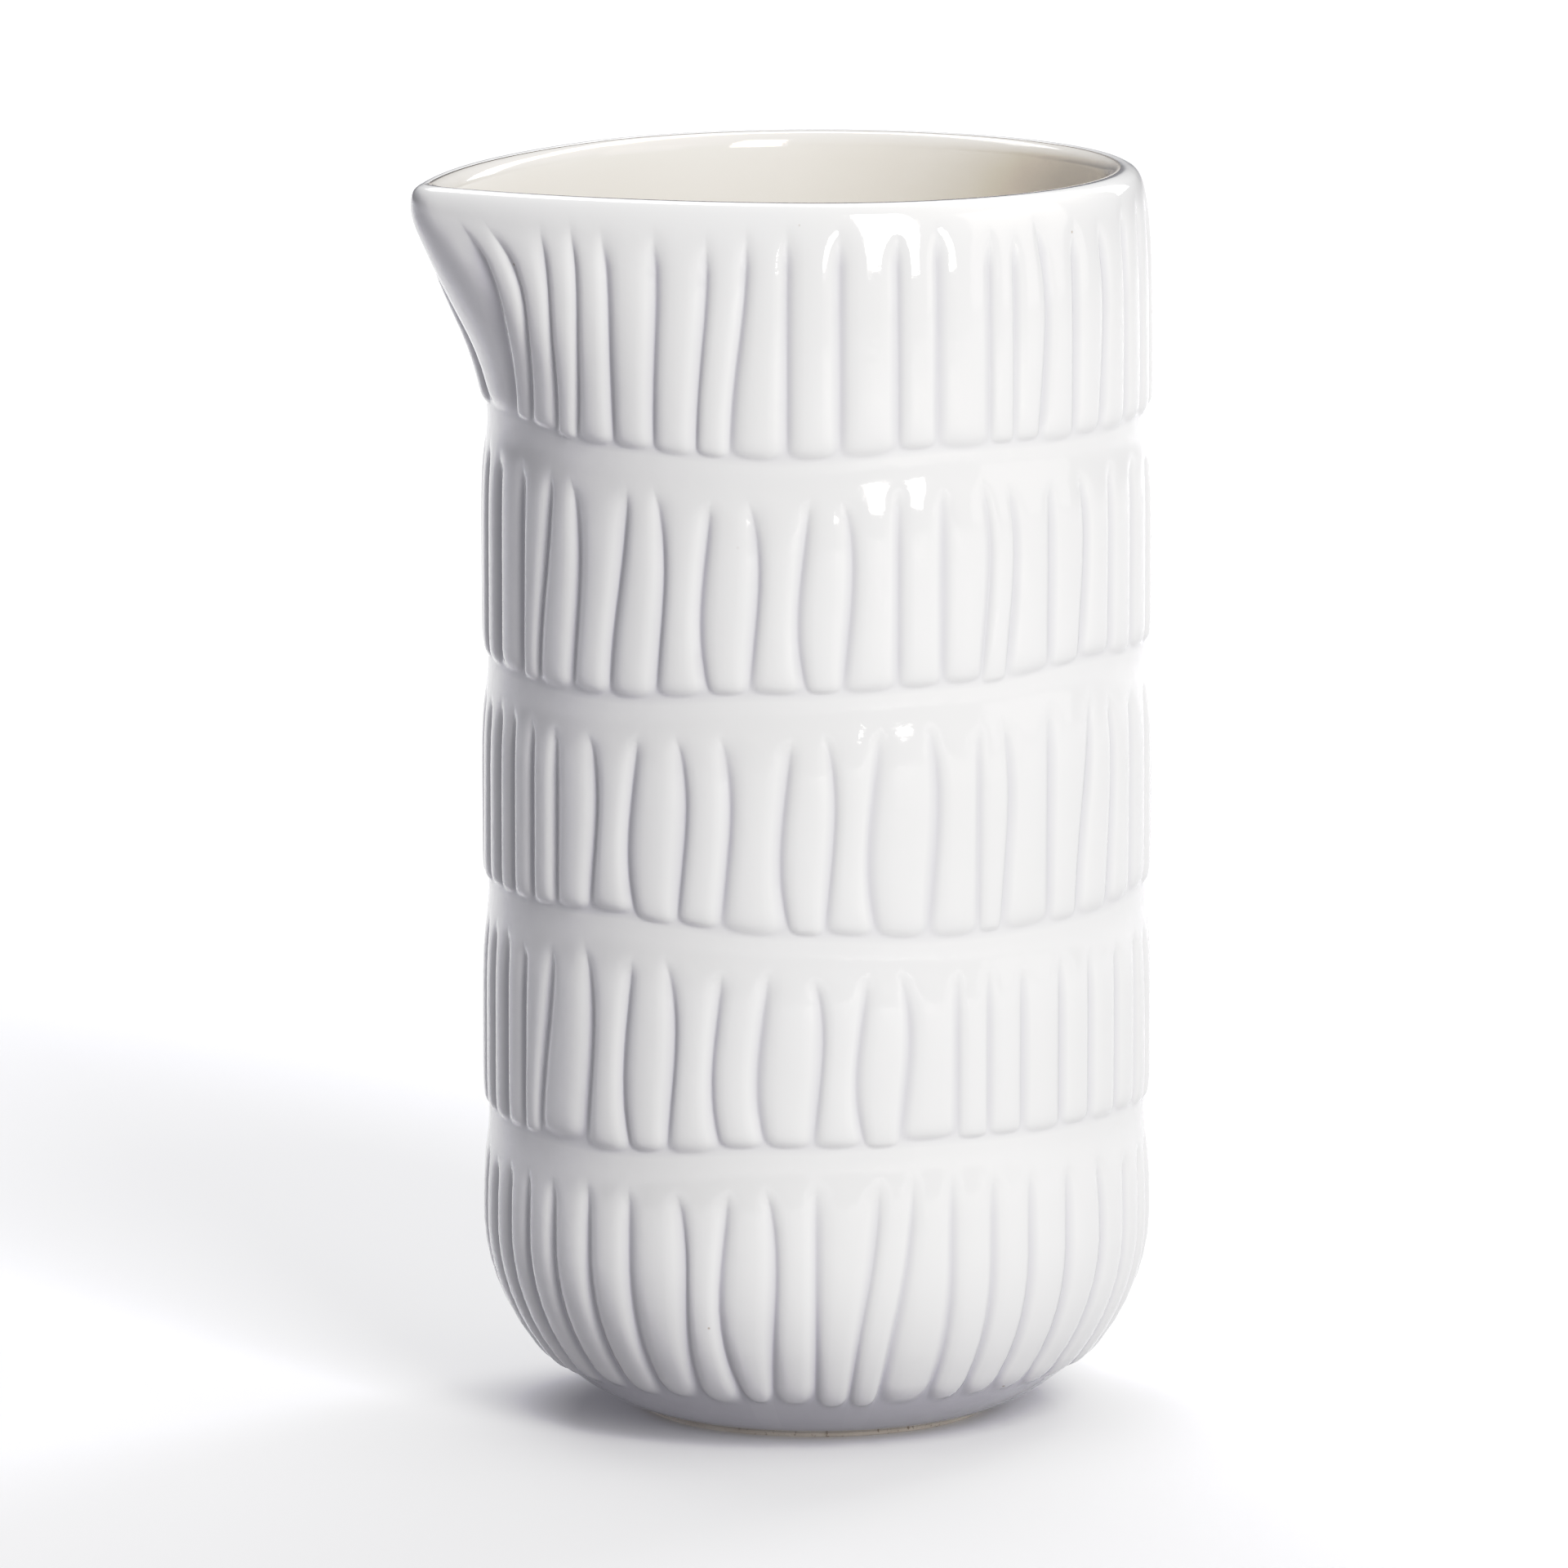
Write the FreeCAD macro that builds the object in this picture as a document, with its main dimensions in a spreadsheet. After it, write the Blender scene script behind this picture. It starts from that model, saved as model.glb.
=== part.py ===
"""Glazed stoneware pitcher: a straight body, a pulled spout, five bands of carved ribs, a bare foot ring.

Millimetres, +Z up, origin on the table under the body's axis, spout towards -X.
The fired clay is one piece. The glaze is three coats over it: outside and rim, inside, and under the foot.
"""

import FreeCAD, Part

import math
import os
import random

import Sketcher
from FreeCAD import Vector

DIMENSIONS = {
    # body
    "body_radius": 50.0,
    "height": 187.0,
    "corner_radius": 32.0,
    "corner_height": 30.7,
    "base_radius": 26.5,
    "joint_height": 148.5,
    # inside
    "inner_radius": 42.8,
    "inner_corner": 22.0,
    "floor_height": 8.0,
    # foot ring
    "foot_radius": 26.0,
    "foot_width": 4.0,
    "recess_depth": 1.5,
    # glaze
    "glaze": 0.35,
    # smooth horizontal hollows between the bands of ribs
    "hollow_1": 44.4,
    "hollow_2": 78.0,
    "hollow_3": 112.7,
    "hollow_4": 148.5,
    "hollow_depth": 0.9,
    "hollow_reach_up": 3.3,
    "hollow_reach_down": 5.4,
    "hollow_power_up": 2.0,
    "hollow_power_down": 1.7,
    # rim
    "rim_inset": 5.4,
    "rim_taper_height": 39.0,
    "rim_power": 4.16,
    "rim_crest_inset": 3.8,
    "rim_inner_round": 2.2,
    "mouth_air": 2.0,
    # spout
    "spout_bend": 165.0,
    "spout_slope": 0.585,
    "spout_wall": 6.6,
    "nose_height": 7.0,
    "nose_round": 1.6,
    "flank_angle": 62.0,
    "outer_tip_ratio": 0.767,
    "inner_tip_ratio": 0.7,
    # ribs and the grooves between them
    "rib_count": 47,
    "groove_depth": 0.94,
    "lowest_rib": 6.7,
    "highest_rib": 184.0,
    "usual_bow": 1.3,
    "line_reach": 2.5,
    # the rounded toe at a rib's lower end
    "toe_rise": 2.7,
    "toe_length": 0.55,
    "toe_power": 2.6,
    "toe_spread": 0.35,
    "foot_toe_stretch": 2.0,
    # a rib's rounded back; a narrow rib stands lower
    "pillow_power": 3.5,
    "pillow_edge": 1.5,
    "slim_rib": 3.3,
    "slim_drop": 0.3,
    # the upper end of a groove, under a hollow and under the rim
    "head_gap": 2.3,
    "head_fade": 3.2,
    "head_spread": 0.8,
    "rim_fade": 7.0,
    "rim_spread": 1.2,
}

# How a groove bends: how far its (bottom, top) stand off its middle, and the swing of an S-bend, all in degrees.
STRAIGHT = (0, 0, 0)
INWARD = (2.5, 2.5, -0.5)
OUTWARD = (-2, -2.5, -0.5)
LEANING = (-2, 2, -0.5)
FANNED = (-5, 3, -0.5)
SWEPT = (-8, -2, -1.5)

# The carved grooves on the pouring side, band by band from the foot up: each one's middle, in whole degrees
# anticlockwise from the spout, and its bend. Places and bends are chosen by eye.
CARVED_PLACES = (
    (
        (-15, STRAIGHT), (-7, STRAIGHT), (0, STRAIGHT), (7, STRAIGHT), (15, STRAIGHT), (24, STRAIGHT),
        (33, STRAIGHT), (44, OUTWARD), (50, INWARD), (60, OUTWARD), (67, STRAIGHT), (76, LEANING),
        (82, LEANING), (91, STRAIGHT), (99, STRAIGHT), (107, STRAIGHT), (116, STRAIGHT), (126, OUTWARD),
        (135, STRAIGHT), (143, STRAIGHT),
    ),
    (
        (-15, STRAIGHT), (-8, STRAIGHT), (-1, STRAIGHT), (6, STRAIGHT), (13, LEANING), (25, OUTWARD),
        (32, INWARD), (42, OUTWARD), (49, INWARD), (57, INWARD), (68, OUTWARD), (74, INWARD),
        (83, OUTWARD), (92, STRAIGHT), (98, STRAIGHT), (105, STRAIGHT), (114, STRAIGHT),
        (122, STRAIGHT), (131, STRAIGHT), (140, STRAIGHT),
    ),
    (
        (-11, STRAIGHT), (-4, STRAIGHT), (2, STRAIGHT), (9, STRAIGHT), (16, STRAIGHT), (26, OUTWARD),
        (33, INWARD), (44, OUTWARD), (52, OUTWARD), (61, INWARD), (70, OUTWARD), (76, INWARD),
        (88, OUTWARD), (96, STRAIGHT), (102, OUTWARD), (111, STRAIGHT), (120, LEANING), (129, OUTWARD),
        (137, STRAIGHT), (147, STRAIGHT),
    ),
    (
        (-12, STRAIGHT), (-4, STRAIGHT), (6, STRAIGHT), (13, LEANING), (22, OUTWARD), (31, LEANING),
        (40, OUTWARD), (47, INWARD), (57, OUTWARD), (64, INWARD), (73, OUTWARD), (81, STRAIGHT),
        (89, STRAIGHT), (98, OUTWARD), (103, OUTWARD), (111, STRAIGHT), (120, OUTWARD), (128, STRAIGHT),
        (137, STRAIGHT), (147, STRAIGHT),
    ),
    (
        (-10, STRAIGHT), (11, SWEPT), (16, SWEPT), (21, FANNED), (26, FANNED), (32, LEANING),
        (40, LEANING), (48, LEANING), (54, LEANING), (62, STRAIGHT), (71, STRAIGHT), (81, STRAIGHT),
        (88, STRAIGHT), (98, STRAIGHT), (103, STRAIGHT), (110, OUTWARD), (117, STRAIGHT),
        (126, OUTWARD), (134, STRAIGHT), (142, STRAIGHT),
    ),
)
CARVED_GROOVES = [
    [(middle + bottom, middle, middle + top, swing) for middle, (bottom, top, swing) in band]
    for band in CARVED_PLACES
]

# How far each hollow, from the lowest up, wanders off its level, every 30 degrees round from the spout.
HOLLOW_LIFTS = (
    (-1.0, -1.4, 0.8, 1.8, 1.5, 0.6, -0.4, -0.9, -0.3, 0.6, 0.4, -0.5),
    (0.3, 0.7, -1.1, -2.1, -1.5, -0.4, 0.5, 0.9, 0.4, -0.4, -0.8, -0.3),
    (-1.5, -2.2, -0.3, 0.8, 2.4, 1.2, 0.2, -0.6, -0.9, -0.2, 0.5, -0.4),
    (1.5, -0.8, -1.8, -0.2, -0.4, 0.3, 0.8, 0.2, -0.6, -0.9, 0.2, 1.2),
)


def make_sheet(doc):
    """The spreadsheet of driving dimensions, and a dict of its values for the formulas below."""
    sheet = doc.addObject("Spreadsheet::Sheet", "Dimensions")
    for row, (alias, value) in enumerate(DIMENSIONS.items(), 1):
        sheet.set(f"A{row}", alias)
        sheet.set(f"B{row}", str(value))
        sheet.setAlias(f"B{row}", alias)
    doc.recompute()
    return {alias: float(sheet.get(alias)) for alias in DIMENSIONS}


# ---------------------------------------------------------------- the wall's shape


def rim_inset(size, z):
    """How far the outer wall has drawn in from the body radius at height z, near the rim."""
    start = size["height"] - size["rim_taper_height"]
    share = min(max((z - start) / size["rim_taper_height"], 0.0), 1.0)
    power = size["rim_power"]
    return size["rim_inset"] * (1 - (1 - share**power) ** (1 / power))


def spout_flare(size, z):
    """How far the spout's keel stands out at height z: a bend, a straight slope and a rounded nose."""
    start, bend, slope = size["joint_height"], size["spout_bend"], size["spout_slope"]
    if z <= start:
        return 0.0
    if z <= bend:
        return slope * (z - start) ** 2 / (2 * (bend - start))
    nose = max(z - size["height"] + size["nose_height"], 0.0) / size["nose_height"]
    return slope * (bend - start) / 2 + slope * (z - bend) - size["nose_round"] * nose**2


def outline_arcs(size, radius, flare, tip_ratio, inset):
    """(centre, radius, first angle, last angle) of a plan outline's four arcs, anticlockwise.

    The outline is the body's circle, a flatter flank each side of the spout and a small tip. With no flare the
    four arcs lie on one circle, so outlines at different heights loft into one smooth wall.
    """
    first = math.radians(size["flank_angle"])
    second = math.asin(math.sin(first) / (1 + tip_ratio))
    spread = flare / ((1 + tip_ratio) * math.cos(second) - tip_ratio - math.cos(first))
    tip_radius = radius - tip_ratio * spread
    flank = Vector(spread * math.cos(first), spread * math.sin(first))
    return [
        (Vector(flank.x, -flank.y), radius + spread - inset, math.pi - first, math.pi - second),
        (Vector(tip_radius - radius - flare, 0), tip_radius - inset, math.pi - second, math.pi + second),
        (flank, radius + spread - inset, math.pi + second, math.pi + first),
        (Vector(0, 0), radius - inset, math.pi + first, 3 * math.pi - first),
    ]


def outline_wire(z, arcs):
    """The plan outline at height z as a closed wire."""
    edges = []
    for centre, radius, first, last in arcs:
        circle = Part.Circle(Vector(centre.x, centre.y, z), Vector(0, 0, 1), radius)
        edges.append(Part.Arc(circle, first, last).toShape())
    return Part.Wire(edges)


def spout_side_point(size, angle, z, inset):
    """A point of the outer wall beside the spout, as far along its stretched arc as angle is along the circle."""
    flare, tip_ratio = spout_flare(size, z), size["outer_tip_ratio"]
    _, tip, flank, _ = outline_arcs(size, size["body_radius"], flare, tip_ratio, inset)
    tip_length = tip[1] * (tip[3] - math.pi)
    flank_length = flank[1] * (flank[3] - flank[2])
    along = (tip_length + flank_length) * abs(angle) / size["flank_angle"]
    if along <= tip_length:
        centre, radius, turn = tip[0], tip[1], math.pi + along / tip[1]
    else:
        centre, radius, turn = flank[0], flank[1], flank[2] + (along - tip_length) / flank[1]
    side = math.copysign(1, angle)
    return Vector(centre.x + radius * math.cos(turn), side * (centre.y + radius * math.sin(turn)), z)


def outer_point(size, angle, z, inset):
    """A point of the outer wall, angle degrees from the spout, drawn in by inset square to its own slope.

    z is the height on the undrawn wall.
    """
    turn = math.pi + math.radians(angle)
    if z < size["corner_height"]:
        bend = size["corner_radius"]
        tilt = math.asin((size["corner_height"] - z) / bend)
        reach = size["body_radius"] - bend + (bend - inset) * math.cos(tilt)
        height = size["corner_height"] - (bend - inset) * math.sin(tilt)
        return Vector(reach * math.cos(turn), reach * math.sin(turn), height)
    small = 0.001
    slope = (rim_inset(size, z) - rim_inset(size, z - small)) / small
    length = math.hypot(1.0, slope)
    drawn = rim_inset(size, z) + inset / length
    height = z - inset * slope / length
    if abs(angle) < size["flank_angle"] and z > size["joint_height"]:
        beside = spout_side_point(size, angle, z, drawn)
        return Vector(beside.x, beside.y, height)
    reach = size["body_radius"] - drawn
    return Vector(reach * math.cos(turn), reach * math.sin(turn), height)


def crest_point(size, angle, inset):
    """A point of the rim's crest line, where the outer wall ends."""
    top = size["height"]
    if abs(angle) < size["flank_angle"]:
        beside = spout_side_point(size, angle, top, size["rim_crest_inset"])
        return Vector(beside.x, beside.y, top - inset)
    turn, reach = math.pi + math.radians(angle), size["body_radius"] - size["rim_crest_inset"]
    return Vector(reach * math.cos(turn), reach * math.sin(turn), top - inset)


# ---------------------------------------------------------------- ribs


def all_grooves(size):
    """Each band's grooves, three angles and a swing each: the carved list, then even ones round the back."""
    chance = random.Random(3)
    bow_size = size["usual_bow"]
    bands = []
    for carved in CARVED_GROOVES:
        grooves = [tuple(groove) if len(groove) == 4 else (*groove, 0.0) for groove in carved]
        start, end = carved[-1][1], carved[0][1] + 360
        count = round(size["rib_count"]) - len(carved) + 1
        for i in range(1, count):
            centre = start + (end - start) * i / count
            bow = bow_size * chance.choice((-1, 1)) * chance.uniform(0.3, 1.0)
            lean = bow_size * chance.uniform(-0.6, 0.6)
            swing = bow_size * chance.uniform(-0.7, 0.7)
            grooves.append((centre - lean - bow / 2, centre + bow / 2, centre + lean - bow / 2, swing))
        bands.append(grooves)
    return bands


def all_ends(size):
    """How early or late, from -1 to 1, each groove of each band starts at its head and each rib at its toe."""
    chance = random.Random(11)
    ribs = range(round(size["rib_count"]) + 1)
    return [[(chance.uniform(-1, 1), chance.uniform(-1, 1)) for _ in ribs] for _ in CARVED_GROOVES]


def hollow_heights(size):
    return [size[f"hollow_{i}"] for i in (1, 2, 3, 4)]


def band_edges(size):
    """The heights that part the bands of ribs, from the foot up."""
    return [size["lowest_rib"]] + hollow_heights(size) + [size["highest_rib"]]


def band_at(size, z):
    return sum(z > hollow for hollow in hollow_heights(size))


def groove_angles(size, bands, z):
    """The angle of every groove at height z. Across a hollow one band's lines run over into the next's."""

    def in_band(band):
        low, high = band_edges(size)[band : band + 2]
        share = min(max((z - low) / (high - low), 0.0), 1.0)
        at_bottom = (1 - share) * (1 - 2 * share)
        at_middle = 4 * share * (1 - share)
        at_top = share * (2 * share - 1)
        swung = math.sin(2 * math.pi * share)
        return [
            bottom * at_bottom + middle * at_middle + top * at_top + swing * swung
            for bottom, middle, top, swing in bands[band]
        ]

    reach = size["line_reach"]
    for number, hollow in enumerate(hollow_heights(size)):
        if abs(z - hollow) < reach:
            over = eased((z - hollow + reach) / (2 * reach))
            return [a + (b - a) * over for a, b in zip(in_band(number), in_band(number + 1))]
    return in_band(band_at(size, z))


def eased(share):
    """A smooth step from 0 to 1."""
    share = min(max(share, 0.0), 1.0)
    return share * share * (3 - 2 * share)


def crest_inset(size, z):
    """How far a rib's crest lies under the plain wall at height z, pulled in by the hollow above or below."""
    inset = 0.0
    for hollow in hollow_heights(size):
        side = "up" if z > hollow else "down"
        away = abs(z - hollow) / size[f"hollow_reach_{side}"]
        inset += size["hollow_depth"] * math.exp(-(away ** size[f"hollow_power_{side}"]))
    return min(inset, size["hollow_depth"])


def relief(size, z, place, half, head, foot):
    """Depth under the plain wall at height z of a rib half its width wide; place runs from -1 to 1 across it.

    The lower end of a rib is a rounded toe, long and soft at the foot of the pitcher. The upper end rolls into
    the hollow, where the grooves fade out, and the top band's grooves fade under the rim.
    """
    band = band_at(size, z)
    low = band_edges(size)[band] + (size["toe_rise"] if band else 0.0) + size["toe_spread"] * foot
    slim = size["slim_drop"] * max(1 - half / size["slim_rib"], 0.0)
    if band == len(CARVED_GROOVES) - 1:
        fade = eased((size["highest_rib"] + size["rim_spread"] * head - z) / size["rim_fade"])
        slim *= eased((size["highest_rib"] - z) / size["rim_fade"])
    else:
        start = hollow_heights(size)[band] - size["head_gap"] - size["head_spread"] * head
        fade = eased((start - z) / size["head_fade"])
    crest = crest_inset(size, z) + slim
    length = size["toe_length"] * half * (1 if band else size["foot_toe_stretch"])
    toe = min(max(1 - (z - low) / length, 0.0), 1.0)
    power = size["toe_power"]
    reach = min((abs(place) ** power + toe**power) ** (1 / power), 1.0)
    pillow = (1 - reach ** size["pillow_power"]) ** size["pillow_edge"]
    return crest + (size["groove_depth"] - crest) * (1 - pillow) * fade


def level_lift(size, angle, z):
    """How far a point at height z moves up with the hollows next to it, which are never quite level."""
    heights = band_edges(size)
    step = 360 / len(HOLLOW_LIFTS[0])
    station = int(angle % 360 // step)
    over = eased(angle % 360 / step - station)
    still = (0.0,) * len(HOLLOW_LIFTS[0])
    lifts = []
    for row in (still, *HOLLOW_LIFTS, still):
        following = row[(station + 1) % len(row)]
        lifts.append(row[station] + (following - row[station]) * over)
    number = min(band_at(size, z), len(lifts) - 2)
    share = min(max((z - heights[number]) / (heights[number + 1] - heights[number]), 0.0), 1.0)
    return lifts[number] + (lifts[number + 1] - lifts[number]) * share


# Rows of control points: above the ribs' lower end, round a hollow, below their upper end, below the rim.
FOOT_ROWS = (-0.6, 0.0, 0.7, 1.5, 2.5, 3.8, 5.4)
HOLLOW_ROWS = (-7.2, -5.4, -4.2, -3.0, -1.6, 0.4, 1.9, 2.7, 3.4, 4.4, 6.2)
LAST_ROWS = (5.5, 3.0, 0.5)
RIM_ROWS = (2.34, 1.37, 0.66, 0.23)
OPEN_SHARES = (0.25, 0.5, 0.75, 1.0)
ACROSS_RIB = (0.0, 0.12, 0.34, 0.66, 0.88)


def row_heights(size):
    """Heights at which the carved wall is set out: close together at the ribs' ends, open along the ribs."""
    bend, centre = size["corner_radius"], size["corner_height"]
    smooth_arc = bend - size["groove_depth"]
    base_tilt = math.acos((size["base_radius"] - size["body_radius"] + bend) / smooth_arc)
    heights = [centre - bend * math.sin(base_tilt * share) for share in (1.0, 0.95, 0.9)]
    heights += [size["lowest_rib"] + step for step in FOOT_ROWS]
    for hollow in hollow_heights(size):
        first, last = heights[-1], hollow + HOLLOW_ROWS[0]
        heights += [first + (last - first) * share for share in OPEN_SHARES[:-1]]
        heights += [hollow + step for step in HOLLOW_ROWS]
    first, last = heights[-1], size["highest_rib"] - size["rim_fade"] - 1
    heights += [first + (last - first) * share for share in OPEN_SHARES]
    return heights + [size["highest_rib"] - step for step in LAST_ROWS]


def pole_angles(grooves):
    """(rib number, place across it from 0 to 1, angle, width) of the control points in one row."""
    row = []
    for rib, (start, end) in enumerate(zip(grooves, grooves[1:] + [grooves[0] + 360])):
        for place in ACROSS_RIB:
            angle = start + (end - start) * place
            row.append((rib, place, (angle + 180) % 360 - 180, end - start))
    return row


def evened(angles, reach):
    """Angles round the circle, each moved to the mean of those within reach places, so that they spread evenly."""
    count, even = len(angles), []
    for k, angle in enumerate(angles):
        near = [angles[(k + step) % count] - angle for step in range(-reach, reach + 1)]
        turn = sum((away + 180) % 360 - 180 for away in near) / len(near)
        even.append((angle + turn + 180) % 360 - 180)
    return even


def carved_wall(size, inset):
    """The whole carved outside as one smooth face, from the base up over the spout to the rim's crest."""
    bands, ends = all_grooves(size), all_ends(size)
    ribs = round(size["rib_count"])
    rows = []
    for z in row_heights(size):
        row = []
        at_height = ends[band_at(size, z)]
        for rib, place, angle, width in pole_angles(groove_angles(size, bands, z)):
            half = math.radians(width) * size["body_radius"] / 2
            nearest = (rib + (place > 0.5)) % ribs
            depth = relief(size, z, 2 * place - 1, half, at_height[nearest][0], at_height[rib][1])
            row.append(outer_point(size, angle, z + level_lift(size, angle, z), inset + depth))
        rows.append(row)
    angles = [pole[2] for pole in pole_angles(groove_angles(size, bands, size["highest_rib"]))]
    for number, below in enumerate(RIM_ROWS):
        even = evened(angles, number + 1)
        rows.append([outer_point(size, angle, size["height"] - below, inset) for angle in even])
    rows.append([crest_point(size, angle, inset) for angle in evened(angles, len(RIM_ROWS) + 1)])

    poles = [list(column) for column in zip(*rows)]
    around, up, degree = len(poles), len(rows), 3
    surface = Part.BSplineSurface()
    surface.buildFromPolesMultsKnots(
        poles, [1] * (around + 1), [degree + 1] + [1] * (up - degree - 1) + [degree + 1],
        list(range(around + 1)), list(range(up - degree + 1)), True, False, degree, degree,
    )
    return surface.toShape()


# ---------------------------------------------------------------- forms turned about the axis


def turned_body(doc, name, geometry, constraints):
    """A PartDesign body revolved about Z from a closed outline in XZ, with its sizes bound to the sheet."""
    body = doc.addObject("PartDesign::Body", name)
    sketch = body.newObject("Sketcher::SketchObject", name + "Outline")
    plane = next(f for f in body.Origin.OriginFeatures if f.Role == "XZ_Plane")
    sketch.AttachmentSupport = [(plane, "")]
    sketch.MapMode = "FlatFace"
    doc.recompute()
    sketch.addGeometry(geometry, False)
    for constraint, expression in constraints:
        index = sketch.addConstraint(constraint)
        if expression:
            sketch.setExpression(f"Constraints[{index}]", expression)
    doc.recompute()
    revolution = body.newObject("PartDesign::Revolution", name + "Revolution")
    revolution.Profile = sketch
    revolution.ReferenceAxis = (sketch, ["V_Axis"])
    revolution.Angle = 360
    doc.recompute()
    return body


def closed_chain(count, smooth):
    """Constraints that join count edges end to start; the edges numbered in smooth run on tangent."""
    return [
        (Sketcher.Constraint("Tangent" if i in smooth else "Coincident", i, 2, (i + 1) % count, 1), None)
        for i in range(count)
    ]


def lower_cavity(doc, name, size, grow, plus):
    """The inside below the joint, widened by grow: a flat floor, a rounded corner and a straight wall."""
    make = Sketcher.Constraint
    bend, top = size["inner_corner"] + grow, size["joint_height"]
    centre = Vector(size["inner_radius"] - size["inner_corner"], size["floor_height"] + size["inner_corner"])
    wall, floor = centre.x + bend, centre.y - bend
    arc = Part.ArcOfCircle(Part.Circle(centre, Vector(0, 0, 1), bend), -math.pi / 2, 0)
    geometry = [
        Part.LineSegment(Vector(0, floor), Vector(centre.x, floor)),
        arc,
        Part.LineSegment(Vector(wall, centre.y), Vector(wall, top)),
        Part.LineSegment(Vector(wall, top), Vector(0, top)),
        Part.LineSegment(Vector(0, top), Vector(0, floor)),
    ]
    sheet = "Dimensions."
    constraints = closed_chain(len(geometry), (0, 1)) + [
        (make("Horizontal", 0), None),
        (make("Vertical", 2), None),
        (make("Horizontal", 3), None),
        (make("PointOnObject", 4, 1, -2), None),
        (make("PointOnObject", 4, 2, -2), None),
        (make("Radius", 1, bend), f"{sheet}inner_corner{plus}"),
        (make("DistanceX", -1, 1, 1, 3, centre.x), f"{sheet}inner_radius - {sheet}inner_corner"),
        (make("DistanceY", -1, 1, 1, 3, centre.y), f"{sheet}floor_height + {sheet}inner_corner"),
        (make("DistanceY", -1, 1, 2, 2, top), f"{sheet}joint_height"),
    ]
    return turned_body(doc, name, geometry, constraints)


# ---------------------------------------------------------------- lofted forms above the joint


# Stations of the inside: heights above the joint, and degrees round the rim's inner edge.
CHANNEL_STEPS = (0.0, 2.5, 6.0, 10.0, 15.0, 20.0, 25.0, 30.0)
RIM_TURNS = (0, 20, 40, 60, 78, 90)


def channel_flare(size, z):
    """The spout's flare inside: it starts with the outer one and ends at the spout's own wall thickness."""
    reach = spout_flare(size, size["height"])
    thinning = size["body_radius"] - size["inner_radius"] - size["spout_wall"]
    return spout_flare(size, z) * (1 + thinning / reach)


def upper_cavity(size, grow):
    """The inside above the joint, widened by grow, with the spout's channel and the rim's inner edge."""
    bend = size["rim_inner_round"]
    edge = size["height"] - bend
    stations = [(size["joint_height"] + step, -grow) for step in CHANNEL_STEPS]
    for angle in RIM_TURNS:
        turn = math.radians(angle)
        stations.append((edge + (bend - grow) * math.sin(turn), (bend - grow) * math.cos(turn) - bend))
    wires = []
    for z, inset in stations:
        flare, tip_ratio = channel_flare(size, z), size["inner_tip_ratio"]
        wires.append(outline_wire(z, outline_arcs(size, size["inner_radius"], flare, tip_ratio, inset)))
    return Part.makeLoft(wires, True, False)


def mouth_line(size):
    """The line on the rim where the outer coat meets the liner, at the height of the clay's crest."""
    top = size["height"]
    flare, tip_ratio = channel_flare(size, top), size["inner_tip_ratio"]
    arcs = outline_arcs(size, size["inner_radius"], flare, tip_ratio, -size["rim_inner_round"])
    return outline_wire(top - size["glaze"], arcs)


# ---------------------------------------------------------------- closed skins


def is_level(shape, z):
    """Whether an edge or face lies wholly at height z."""
    near = 0.01
    return abs(shape.BoundBox.ZMin - z) < near and abs(shape.BoundBox.ZMax - z) < near


def level_edges(shape, z):
    """The edges of a shape that lie wholly at height z."""
    return [edge for edge in shape.Edges if is_level(edge, z)]


def end_wires(wall):
    """The lowest and highest closed edges of a wall face, as wires."""
    rings = sorted((e for e in wall.Edges if e.isClosed()), key=lambda edge: edge.CenterOfMass.z)
    return Part.Wire([rings[0]]), Part.Wire([rings[-1]])


def level_ring(outer, inner):
    """The flat face between two wires at one height."""
    return Part.makeFace([outer, inner], "Part::FaceMakerBullseye")


def solid_of(faces):
    """One solid from faces that close up."""
    skin = Part.Shell(faces)
    skin.sewShape()
    solid = Part.Solid(skin)
    if solid.Volume < 0:
        solid.reverse()
    return solid


def clay_solid(size, wall, lined, block, recess):
    """The fired body: the carved wall, the foot ring with the recess under it, and the lined inside."""
    low, high = end_wires(wall)
    mouth = Part.Wire(Part.__sortEdges__(level_edges(lined, size["height"] - size["glaze"])))
    foot_top = Part.Wire(level_edges(block, low.BoundBox.ZMin))
    foot_edge = Part.Wire(level_edges(block, 0))
    recess_edge = Part.Wire(level_edges(recess, 0))
    faces = [wall, level_ring(high, mouth), level_ring(low, foot_top), level_ring(foot_edge, recess_edge)]
    faces += [face for face in block.Faces if isinstance(face.Surface, Part.Cylinder)]
    faces += open_faces(recess, 0) + open_faces(lined, size["height"] - size["glaze"])
    return solid_of(faces)


def open_faces(solid, z):
    """A solid's faces without the flat one at height z."""
    return [face for face in solid.Faces if not is_level(face, z)]


def coat_solid(size, outside, backing, mouth):
    """The outer glaze: the carved wall outside, the clay's wall behind, closed at the foot and the mouth."""
    low, high = end_wires(outside)
    low_back, high_back = end_wires(backing)
    foot = Part.makeCircle(size["foot_radius"], Vector(0, 0, low.BoundBox.ZMin))
    rise = Vector(0, 0, low_back.BoundBox.ZMin - low.BoundBox.ZMin)
    foot_side = foot.extrude(rise)
    mouth_side = mouth.extrude(Vector(0, 0, size["glaze"]))
    mouth_top = Part.Wire(Part.__sortEdges__(level_edges(mouth_side, size["height"])))
    foot_back = Part.Wire(level_edges(foot_side, low_back.BoundBox.ZMin))
    faces = [outside, backing, level_ring(high, mouth_top), level_ring(high_back, mouth)]
    faces += [level_ring(low, Part.Wire([foot])), level_ring(low_back, foot_back)]
    return solid_of(faces + foot_side.Faces + mouth_side.Faces)


# ---------------------------------------------------------------- the document


def code_shape(doc, name, shape):
    """A Part::Feature for a shape made by formula."""
    thing = doc.addObject("Part::Feature", name)
    thing.Shape = shape
    return thing


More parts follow.
